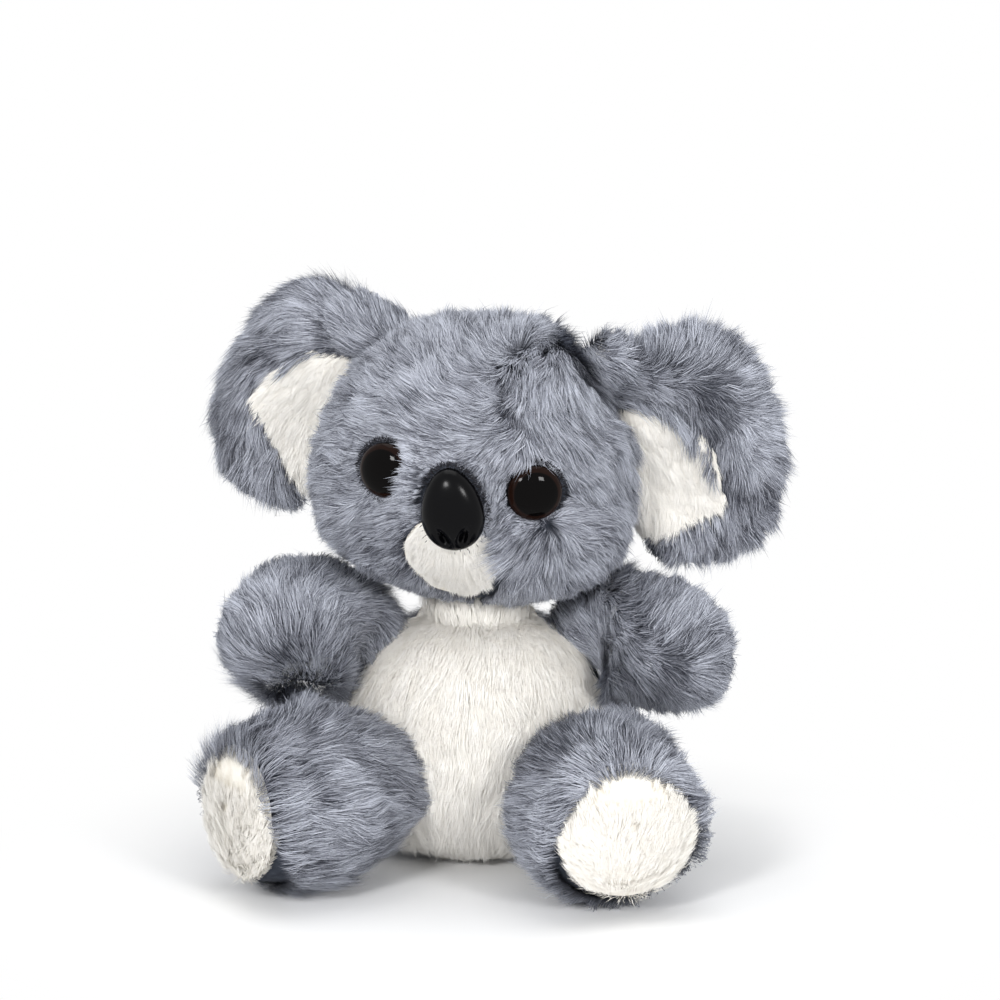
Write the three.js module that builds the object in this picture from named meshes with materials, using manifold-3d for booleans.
// A sitting plush koala, in millimetres. +Z is up, the face looks along -Y, and +X is the koala's left side.
// Fur cloth is one layer: its backing and the pile that lies on it.

import * as THREE from "three";
import { mergeVertices } from "three/addons/utils/BufferGeometryUtils.js";
import Module from "manifold-3d";

const wasm = await Module();
wasm.setup();

const radians = THREE.MathUtils.degToRad;

// Cloth, fits and cutting
const furCloth = 5;
const fitGap = 0.35;
const overrun = 4;
const mergeDistance = 0.001;
const floorCut = 0.5;

// Torso, a broad barrel that sits on its cut base
const torsoWidth = 120;
const torsoDepth = 100;
const torsoHeight = 105;
const torsoSquareness = 2.6;
const torsoTaperShare = 0.04;
const bellySwell = 4;
const bellyLevelShare = -0.1;
const bellySpreadShare = 0.6;

// White belly panel on the front of the torso, in two halves with a seam between them
const bellyPanelWidth = 112;
const bellyPanelHeight = 112;
const bellyPanelLevel = 54;
const bellyPanelBack = 14;

// Pellet bag that weights the seat
const pelletBagWidth = 74;
const pelletBagDepth = 62;
const pelletBagHeight = 44;
const pelletBagLevel = 12;

// Neck, a ball of firm stuffing between torso and head
const neckRadius = 21;
const headLift = 2.5;

// Head, widest at the cheeks, with a snout that swells from the face
const headWidth = 132;
const headDepth = 112;
const headHeight = 120;
const headSquareness = 2.2;
const headTaperShare = 0.13;
const headForward = 10;
const headTurn = radians(-7);
const headNod = radians(4);
const headTilt = radians(7.7);
const snoutReach = 11;
const snoutWidth = 50;
const snoutHeight = 52;
const snoutLevel = -13;

// Safety eyes, each a dome on a shank with a washer behind the cloth
const eyeRadius = 11;
const eyeHeight = 8.5;
const eyeSink = 3.5;
const eyeSpacing = 59;
const eyeLevel = 2;
const eyeTurn = radians(17);
const shankRadius = 2.4;
const shankLength = 13;
const washerRadius = 8;
const washerThickness = 1.4;
const washerSlack = 0.9;

// Nose, an oval dome on a shank
const noseWidth = 24.5;
const noseHeight = 33;
const noseReach = 12.5;
const noseSink = 4.5;
const noseLevel = -6;
const noseTip = radians(5);
const noseLean = radians(-13);
const noseTaperShare = 0.16;
const nostrilWidth = 3.4;
const nostrilHeight = 5;
const nostrilDepth = 3.5;
const nostrilSpacing = 7.6;
const nostrilLevel = -12;

// White muzzle patch under the nose
const muzzleWidth = 38;
const muzzleHeight = 37;
const muzzleLevel = -29;

// Ears, each a thick grey pad with a white lining in its hollow, flexing about its root seam
const earReach = 70;
const earHeight = 100;
const earThickness = 30;
const earRootRadius = 7.5;
const earRootLength = 34;
const earRootOut = 53;
const earRootBack = 20;
const earRootLean = radians(18.5);
const earDrop = 6;
const earFlex = radians(18);
const earHollowReach = 50;
const earHollowHeight = 62;
const earHollowDepth = 9;
const earHollowOut = 16;
const earHollowDrop = 12;
const earLiningThickness = 3.5;
const rightEarLevel = 7;
const leftEarLevel = 10.5;
const earLevels = { right: rightEarLevel, left: leftEarLevel };
const earSweeps = { right: radians(24), left: radians(6) };

// Share of a limb's root radius that its stuffing reaches back past the joint
const rootFillShare = 0.6;

// Arms, pinched at the shoulder seam and bent forwards to a round paw
const armRootRadius = 15;
const armPinch = radians(42);
const armThickness = 57;
const armLength = 64;
const armPawDepth = 26;
const armMiddleShare = 0.84;
const armBend = radians(118);
const shoulderWidth = 84;
const shoulderBack = -6;
const shoulderLevel = 94;
const armPoses = {
  right: { lift: radians(33), roll: radians(48) },
  left: { lift: radians(21), roll: radians(50) },
};

// Legs, pinched at the hip seam and widening to a round foot with a flat sole
const legRootRadius = 26;
const legPinch = radians(22);
const legThickness = 74;
const footWidth = 68;
const legSwellShare = 0.5;
const legLength = 70;
const soleRounding = 12;
const soleWidth = 64;
const soleCrown = 3;
const legBend = radians(-9);
const legRise = radians(-8);
const hipWidth = 79;
const hipForward = 38.5;
const hipLevel = 41;
const legSwings = { right: radians(34), left: radians(73) };

// Mesh steps
const roundSteps = 20;
const innerSteps = 12;
const smallSteps = 16;
const arcSteps = 4;
const outerDetail = 5;
const innerDetail = 3;

const greyFur = new THREE.MeshStandardMaterial({ color: 0x8c94a0, roughness: 0.92, metalness: 0 });
const whiteFur = new THREE.MeshStandardMaterial({ color: 0xf3f0ea, roughness: 0.92, metalness: 0 });
const stuffing = new THREE.MeshStandardMaterial({ color: 0xf7f7f5, roughness: 1, metalness: 0 });
const pelletCloth = new THREE.MeshStandardMaterial({ color: 0xd8d4cb, roughness: 0.9, metalness: 0 });
const blackGloss = new THREE.MeshStandardMaterial({ color: 0x151417, roughness: 0.12, metalness: 0 });
const noseSatin = new THREE.MeshStandardMaterial({ color: 0x1b1b1d, roughness: 0.35, metalness: 0 });
const washerWhite = new THREE.MeshStandardMaterial({ color: 0xe6e6e2, roughness: 0.6, metalness: 0 });

const sides = [
  { name: "left", side: 1 },
  { name: "right", side: -1 },
];

// Solids and geometry

// A closed mesh becomes a solid once its shared corners are merged by place alone.
function solidOf(geometry) {
  const bare = geometry.clone();
  bare.deleteAttribute("normal");
  bare.deleteAttribute("uv");
  const merged = mergeVertices(bare, mergeDistance);
  return new wasm.Manifold(
    new wasm.Mesh({
      numProp: 3,
      vertProperties: merged.attributes.position.array,
      triVerts: new Uint32Array(merged.index.array),
    }),
  );
}

function meshOf(name, solid, material) {
  const { vertProperties, triVerts } = solid.getMesh();
  const geometry = new THREE.BufferGeometry();
  geometry.setAttribute("position", new THREE.BufferAttribute(vertProperties, 3));
  geometry.setIndex(new THREE.BufferAttribute(triVerts, 1));
  geometry.computeVertexNormals();
  const mesh = new THREE.Mesh(geometry, material);
  mesh.name = name;
  return mesh;
}

function without(solid, ...cutters) {
  return cutters.reduce((left, cutter) => left.subtract(cutter), solid);
}

// Carries a geometry through a matrix, and turns its faces out again if that mirrors it.
function moved(geometry, matrix) {
  geometry.applyMatrix4(matrix);
  if (matrix.determinant() < 0) geometry.index.array.reverse();
  return geometry;
}

// The matrix from a group's parent into the group.
function into(group) {
  group.updateMatrix();
  return group.matrix.clone().invert();
}

// Sends every corner of a geometry through shape, which moves the point it is given.
function reshaped(geometry, shape) {
  const places = geometry.attributes.position;
  const corner = new THREE.Vector3();
  for (let i = 0; i < places.count; i++) {
    shape(corner.fromBufferAttribute(places, i));
    places.setXYZ(i, corner.x, corner.y, corner.z);
  }
  return geometry;
}

// A ball whose directions are sent by shape to a form that swells and tapers.
function swollenBall(detail, shape) {
  const ball = new THREE.IcosahedronGeometry(1, detail);
  ball.deleteAttribute("normal");
  ball.deleteAttribute("uv");
  return reshaped(mergeVertices(ball), (corner) => shape(corner.normalize()));
}

function ellipsoid(halfX, halfY, halfZ, centre, steps = smallSteps) {
  const ball = new THREE.SphereGeometry(1, steps, Math.round(steps / 2));
  ball.rotateX(Math.PI / 2);
  ball.scale(halfX, halfY, halfZ);
  ball.translate(centre.x, centre.y, centre.z);
  return solidOf(ball);
}

// An oval bar along Y, from the depth nearY to farY.
function ovalBar(halfX, halfZ, nearY, farY, level = 0, steps = smallSteps) {
  const bar = new THREE.CylinderGeometry(1, 1, farY - nearY, steps);
  bar.scale(halfX, 1, halfZ);
  bar.translate(0, (nearY + farY) / 2, level);
  return bar;
}

function block(sizeX, sizeY, sizeZ, x, z) {
  const box = new THREE.BoxGeometry(sizeX, sizeY, sizeZ);
  box.translate(x, 0, z);
  return solidOf(box);
}

// A quarter ellipse of [radius, along] points after its start, from full radius to the axis.
function domeArc(radius, start, height, steps) {
  return Array.from({ length: steps }, (_, i) => {
    const angle = (Math.PI / 2) * ((i + 1) / steps);
    return [i + 1 === steps ? 0 : radius * Math.cos(angle), start + height * Math.sin(angle)];
  });
}

// Torso and head forms: a direction is scaled until (distance from the axis)^n + (height)^n = 1,
// which makes a rounded barrel, and that is then stretched, tapered and swollen.

function barrelScale(direction, power) {
  const out = Math.hypot(direction.x, direction.y);
  return (out ** power + Math.abs(direction.z) ** power) ** (-1 / power);
}

function torsoForm(inset, detail) {
  const halfX = torsoWidth / 2 - inset;
  const halfY = torsoDepth / 2 - inset;
  const halfZ = torsoHeight / 2 - inset;
  return swollenBall(detail, (p) => {
    p.multiplyScalar(barrelScale(p, torsoSquareness));
    const taper = 1 - torsoTaperShare * p.z;
    const belly = Math.exp(-(((p.z - bellyLevelShare) / bellySpreadShare) ** 2));
    const swell = bellySwell * belly * Math.max(0, -p.y);
    p.set(p.x * halfX * taper, p.y * halfY * taper - swell, p.z * halfZ + torsoHeight / 2 - floorCut);
  });
}

// How far the snout stands out of the face at a place seen from the front.
function snoutAt(x, z) {
  const off = (x / (snoutWidth / 2)) ** 2 + ((z - snoutLevel) / (snoutHeight / 2)) ** 2;
  return snoutReach * Math.exp(-off);
}

function headForm(inset, detail) {
  const halfX = headWidth / 2 - inset;
  const halfY = headDepth / 2 - inset;
  const halfZ = headHeight / 2 - inset;
  return swollenBall(detail, (p) => {
    p.multiplyScalar(barrelScale(p, headSquareness));
    const front = Math.max(0, -p.y);
    p.set(p.x * halfX * (1 - headTaperShare * p.z), p.y * halfY, p.z * halfZ);
    p.y -= snoutAt(p.x, p.z) * front;
  });
}

// The depth of the face at a place seen from the front, from the head form's own equation.
function faceAt(x, z) {
  const up = z / (headHeight / 2);
  const across = x / ((headWidth / 2) * (1 - headTaperShare * up));
  const out = (1 - Math.abs(up) ** headSquareness) ** (1 / headSquareness);
  const front = Math.sqrt(out ** 2 - across ** 2);
  return -front * (headDepth / 2 + snoutAt(x, z));
}

// Places that two assemblies share

const torsoTop = torsoHeight - floorCut;
const neckPlace = new THREE.Vector3(0, 0, torsoTop + headLift / 2);

function shoulderPlace(side) {
  return new THREE.Vector3((side * shoulderWidth) / 2, shoulderBack, shoulderLevel);
}

function hipPlace(side) {
  return new THREE.Vector3((side * hipWidth) / 2, -hipForward, hipLevel);
}

function sphere(radius, centre) {
  return ellipsoid(radius, radius, radius, centre, roundSteps);
}

// A faceted socket is larger by what its facets cut off, so that a ball of the radius turns in it.
function socket(radius, centre) {
  return sphere((radius + fitGap) / Math.cos(Math.PI / roundSteps) ** 2, centre);
}

// Torso

function torsoSockets() {
  const limbs = sides.flatMap(({ side }) => [
    socket(armRootRadius, shoulderPlace(side)),
    socket(legRootRadius, hipPlace(side)),
  ]);
  return [socket(neckRadius, neckPlace), ...limbs];
}

// The belly panel's oval, as a bar from inside the torso to past its front.
function bellyOval(grow) {
  const front = -torsoDepth / 2 - bellySwell - overrun;
  const halfX = bellyPanelWidth / 2 + grow;
  const halfZ = bellyPanelHeight / 2 + grow;
  return solidOf(ovalBar(halfX, halfZ, front, grow - bellyPanelBack, bellyPanelLevel, 2 * smallSteps));
}

function pelletBagForm(grow) {
  return ellipsoid(
    pelletBagWidth / 2 + grow,
    pelletBagDepth / 2 + grow,
    pelletBagHeight / 2 + grow,
    new THREE.Vector3(0, 0, pelletBagLevel),
  );
}

function torso() {
  const group = new THREE.Group();
  const sockets = torsoSockets();
  const underFloor = block(2 * torsoWidth, 2 * torsoDepth, torsoHeight, 0, -torsoHeight / 2);
  const outer = solidOf(torsoForm(0, outerDetail));
  const shell = without(outer, solidOf(torsoForm(furCloth, innerDetail)), underFloor, ...sockets);
  group.add(meshOf("torso_skin", shell.subtract(bellyOval(fitGap)), greyFur));
  const panel = shell.intersect(bellyOval(0));
  for (const { name, side } of sides) {
    const half = block(torsoWidth, 2 * torsoDepth, 3 * torsoHeight, (side * (torsoWidth + fitGap)) / 2, 0);
    group.add(meshOf("belly_panel_" + name, panel.intersect(half), whiteFur));
  }
  const core = without(solidOf(torsoForm(furCloth + fitGap, innerDetail)), ...sockets);
  group.add(meshOf("torso_stuffing", core.subtract(pelletBagForm(fitGap)), stuffing));
  group.add(meshOf("pellet_bag", core.intersect(pelletBagForm(0)), pelletCloth));
  return group;
}

// Limbs, each turned from a profile and bent

// Turns a profile of [radius, along] points, from root to tip, about the X axis.
function turned(profile, steps) {
  const points = profile.map(([radius, along]) => new THREE.Vector2(radius, along));
  return new THREE.LatheGeometry(points, steps).rotateZ(-Math.PI / 2);
}

// Bends what lies beyond the root towards -Y, evenly through the angle over the length.
function bent(form, length, angle) {
  const curve = length / angle;
  return reshaped(form, (p) => {
    if (p.x <= 0) return;
    const turn = p.x / curve;
    const out = curve + p.y;
    p.set(Math.sin(turn) * out, Math.cos(turn) * out - curve, p.z);
  });
}

// The root ball in its socket, up to the pinch angle past its middle.
function rootArc(radius, pinch) {
  return Array.from({ length: arcSteps + 1 }, (_, i) => {
    const angle = ((Math.PI / 2 + pinch) * i) / arcSteps - Math.PI / 2;
    return [radius * Math.cos(angle), radius * Math.sin(angle)];
  });
}

// A smooth line through the key points of a profile, without the first of them.
function smoothLine(keys) {
  const line = new THREE.SplineCurve(keys.map(([radius, along]) => new THREE.Vector2(radius, along)));
  return line
    .getPoints(arcSteps)
    .slice(1)
    .map(({ x, y }) => [x, y]);
}

function waistOf(rootRadius, pinch, inset) {
  return [rootRadius * Math.cos(pinch) - inset, rootRadius * Math.sin(pinch)];
}

function armProfile(inset) {
  const half = armThickness / 2 - inset;
  const waist = waistOf(armRootRadius, armPinch, inset);
  const pawStart = armLength - armPawDepth;
  const swell = smoothLine([waist, [half * armMiddleShare, pawStart / 2], [half, pawStart]]);
  return [waist, ...swell, ...domeArc(half, pawStart, armPawDepth - inset, arcSteps)];
}

function legProfile(inset) {
  const half = legThickness / 2 - inset;
  const foot = footWidth / 2 - inset;
  const waist = waistOf(legRootRadius, legPinch, inset);
  const footStart = legLength - soleCrown - soleRounding;
  const swell = smoothLine([waist, [half, footStart * legSwellShare], [foot, footStart]]);
  const rim = domeArc(soleRounding, footStart, soleRounding - inset, 3).map(([radius, along]) => [
    foot - soleRounding + radius,
    along,
  ]);
  const crown = domeArc(foot - soleRounding, legLength - soleCrown - inset, soleCrown, 2);
  return [waist, ...swell, ...rim, ...crown];
}

// A limb's outside, the hollow that its cloth leaves, open through the root, and the stuffing in it.
function limbForms(profileAt, rootRadius, pinch, length, angle) {
  const cored = (inset, back) => {
    const profile = profileAt(inset);
    const [radius] = profile[0];
    return solidOf(bent(turned([[0, back], [radius, back], ...profile], innerSteps), length, angle));
  };
  const outline = [...rootArc(rootRadius, pinch), ...profileAt(0).slice(1)];
  return {
    outside: solidOf(bent(turned(outline, roundSteps), length, angle)),
    hollow: cored(furCloth, -rootRadius - overrun),
    core: cored(furCloth + 2 * fitGap, -rootRadius * rootFillShare),
  };
}

function arm(name, side) {
  const group = new THREE.Group();
  const { lift, roll } = armPoses[name];
  group.position.copy(shoulderPlace(side));
  group.rotation.set(roll, -side * lift, 0, "ZYX");
  group.scale.x = side;
  const forms = limbForms(armProfile, armRootRadius, armPinch, armLength, armBend);
  group.add(meshOf("arm_skin_" + name, forms.outside.subtract(forms.hollow), greyFur));
  group.add(meshOf("arm_stuffing_" + name, forms.core, stuffing));
  return group;
}

// The sole is the cloth of the foot's end inside the sole's circle.
function soleDisc(grow) {
  const near = legLength - furCloth - soleCrown - grow;
  const far = legLength + overrun;
  const disc = new THREE.CylinderGeometry(1, 1, far - near, roundSteps);
  disc.rotateZ(-Math.PI / 2);
  disc.scale(1, soleWidth / 2 + grow, soleWidth / 2 + grow);
  disc.translate((near + far) / 2, 0, 0);
  return solidOf(bent(disc, legLength, legBend));
}

function leg(name, side) {
  const group = new THREE.Group();
  group.position.copy(hipPlace(side));
  group.rotation.set(Math.PI / 2, -side * legRise, -side * legSwings[name], "ZYX");
  group.scale.x = side;
  const forms = limbForms(legProfile, legRootRadius, legPinch, legLength, legBend);
  const floor = new THREE.BoxGeometry(4 * legLength, 4 * legLength, legLength);
  floor.translate(0, 0, -legLength / 2);
  const skin = without(forms.outside, forms.hollow, solidOf(moved(floor, into(group))));
  group.add(meshOf("leg_skin_" + name, skin.subtract(soleDisc(fitGap)), greyFur));
  group.add(meshOf("foot_sole_" + name, skin.intersect(soleDisc(0)), whiteFur));
  group.add(meshOf("leg_stuffing_" + name, forms.core, stuffing));
  return group;
}

// Eyes and nose, each in a frame at the face whose -Y axis points out of it

function washer(name, depth) {
  const disc = ovalBar(washerRadius, washerRadius, depth, depth + washerThickness);
  const hole = ovalBar(shankRadius + fitGap, shankRadius + fitGap, 0, shankLength, 0, innerSteps);
  return meshOf(name, solidOf(disc).subtract(solidOf(hole)), washerWhite);
}

// What a piece on the face takes out of the head: its seat, its shank's hole and its washer.
function faceRoom(piece, halfX, halfZ, sink, washerDepth) {
  piece.updateMatrix();
  const shank = shankRadius + fitGap;
  const plate = washerRadius + fitGap;
  const bars = [
    ovalBar(halfX + fitGap, halfZ + fitGap, -headDepth / 2, sink + fitGap),
    ovalBar(shank, shank, 0, shankLength + fitGap, 0, innerSteps),
    ovalBar(plate, plate, washerDepth - fitGap, washerDepth + washerThickness + fitGap),
  ];
  return bars.map((bar) => solidOf(moved(bar, piece.matrix))).reduce((all, bar) => all.add(bar));
}

const eyeWasherDepth = furCloth + washerSlack;
const noseWasherDepth = furCloth + noseSink;

function eye(name, side) {
  const group = new THREE.Group();
  const out = (side * eyeSpacing) / 2;
  group.position.set(out, faceAt(out, eyeLevel), eyeLevel);
  group.rotation.z = side * eyeTurn;
  const dome = domeArc(eyeRadius, 0, eyeHeight, arcSteps).reverse();
  const profile = [
    ...dome.map(([radius, height]) => [radius, eyeSink - height]),
    [eyeRadius, eyeSink],
    [shankRadius, eyeSink],
    [shankRadius, shankLength],
    [0, shankLength],
  ];
  const points = profile.map(([radius, depth]) => new THREE.Vector2(radius, depth));
  group.add(meshOf("eye_" + name, solidOf(new THREE.LatheGeometry(points, roundSteps)), blackGloss));
  group.add(washer("eye_washer_" + name, eyeWasherDepth));
  return group;
}

// An oval dome, narrower at the top, with two nostrils pressed into its lower end.
function nose() {
  const group = new THREE.Group();
  group.position.set(0, faceAt(0, noseLevel), noseLevel);
  group.rotation.set(noseTip, noseLean, 0);
  const dome = domeArc(1, 0, noseReach, arcSteps + 1).reverse();
  const points = dome.map(([radius, height]) => new THREE.Vector2(radius, noseSink - height));
  points.push(new THREE.Vector2(1, noseSink), new THREE.Vector2(0, noseSink));
  const form = new THREE.LatheGeometry(points, roundSteps);
  form.scale(noseWidth / 2, 1, noseHeight / 2);
  reshaped(form, (p) => p.setX(p.x * (1 - (noseTaperShare * p.z) / (noseHeight / 2))));
  const shank = ovalBar(shankRadius, shankRadius, 0, shankLength, 0, innerSteps);
  const level = Math.sqrt(1 - (nostrilLevel / (noseHeight / 2)) ** 2);
  const nostrils = sides.map(({ side }) => {
    const place = new THREE.Vector3((side * nostrilSpacing) / 2, noseSink - noseReach * level, nostrilLevel);
    return ellipsoid(nostrilWidth / 2, nostrilDepth / 2, nostrilHeight / 2, place, innerSteps);
  });
  group.add(meshOf("nose", without(solidOf(form).add(solidOf(shank)), ...nostrils), noseSatin));
  group.add(washer("nose_washer", noseWasherDepth));
  return group;
}

// The muzzle patch's oval, as a bar from inside the head to past its snout.
function muzzleOval(grow) {
  const halfX = muzzleWidth / 2 + grow;
  const halfZ = muzzleHeight / 2 + grow;
  const front = -headDepth / 2 - snoutReach - overrun;
  return solidOf(ovalBar(halfX, halfZ, front, 0, muzzleLevel, 2 * smallSteps));
}

// Ears, each in a frame whose Z axis is its root seam and whose X axis points out of the head

function earFrame(name, side) {
  const group = new THREE.Group();
  group.position.set(side * earRootOut, earRootBack, earLevels[name]);
  group.rotation.set(0, -side * earRootLean, side * earSweeps[name], "YZX");
  group.scale.x = side;
  group.updateMatrix();
  return group;
}

function rootBar(grow) {
  return new THREE.CapsuleGeometry(earRootRadius + grow, earRootLength, 4, innerSteps).rotateX(Math.PI / 2);
}

// The head as an ear meets it at steps of its flex, so that the ear clears it all the way.
function headSweep(frame) {
  return [-1, 0, 1].map((part) => {
    const form = moved(headForm(-fitGap, outerDetail), into(frame));
    return solidOf(form.rotateZ(part * earFlex));
  });
}

function ear(name, side) {
  const group = earFrame(name, side);
  const middle = new THREE.Vector3(earReach / 2, 0, -earDrop);
  const pad = ellipsoid(earReach / 2, earThickness / 2, earHeight / 2, middle, roundSteps);
  const hollow = (grow, forward) =>
    ellipsoid(
      earHollowReach / 2 + grow,
      earHollowDepth + grow,
      earHollowHeight / 2 + grow,
      new THREE.Vector3(earHollowOut, -earThickness / 2 - forward, -earHollowDrop),
      roundSteps,
    );
  const blocked = headSweep(group);
  const back = without(pad.subtract(hollow(fitGap, 0)), ...blocked).add(solidOf(rootBar(0)));
  const lining = without(hollow(0, 0).intersect(pad), hollow(0, earLiningThickness), ...blocked);
  group.add(meshOf("ear_back_" + name, back, greyFur));
  group.add(meshOf("ear_lining_" + name, lining, whiteFur));
  return group;
}

// Head

function head() {
  const group = new THREE.Group();
  group.position.set(0, -headForward, torsoTop + headLift + headHeight / 2);
  group.rotation.set(headNod, headTilt, headTurn, "ZXY");
  const cuts = [socket(neckRadius, neckPlace.clone().applyMatrix4(into(group)))];
  for (const { name, side } of sides) {
    const dome = eye(name, side);
    const flap = ear(name, side);
    group.add(dome, flap);
    cuts.push(faceRoom(dome, eyeRadius, eyeRadius, eyeSink, eyeWasherDepth));
    cuts.push(solidOf(moved(rootBar(fitGap), flap.matrix)));
  }
  const snub = nose();
  group.add(snub);
  cuts.push(faceRoom(snub, (noseWidth / 2) * (1 + noseTaperShare), noseHeight / 2, noseSink, noseWasherDepth));
  const outer = solidOf(headForm(0, outerDetail));
  const shell = without(outer, solidOf(headForm(furCloth, innerDetail)), ...cuts);
  const core = without(solidOf(headForm(furCloth + fitGap, innerDetail)), ...cuts);
  group.add(meshOf("head_skin", shell.subtract(muzzleOval(fitGap)), greyFur));
  group.add(meshOf("muzzle_patch", shell.intersect(muzzleOval(0)), whiteFur));
  group.add(meshOf("head_stuffing", core, stuffing));
  return group;
}

const koala = new THREE.Group();
koala.add(torso(), meshOf("neck_stuffing", sphere(neckRadius, neckPlace), stuffing), head());
for (const { name, side } of sides) koala.add(arm(name, side), leg(name, side));

// The part's origin lies under the middle of the whole, on the floor.
const box = new THREE.Box3().setFromObject(koala, true);
koala.position.set(-(box.min.x + box.max.x) / 2, -(box.min.y + box.max.y) / 2, 0);

export default koala;
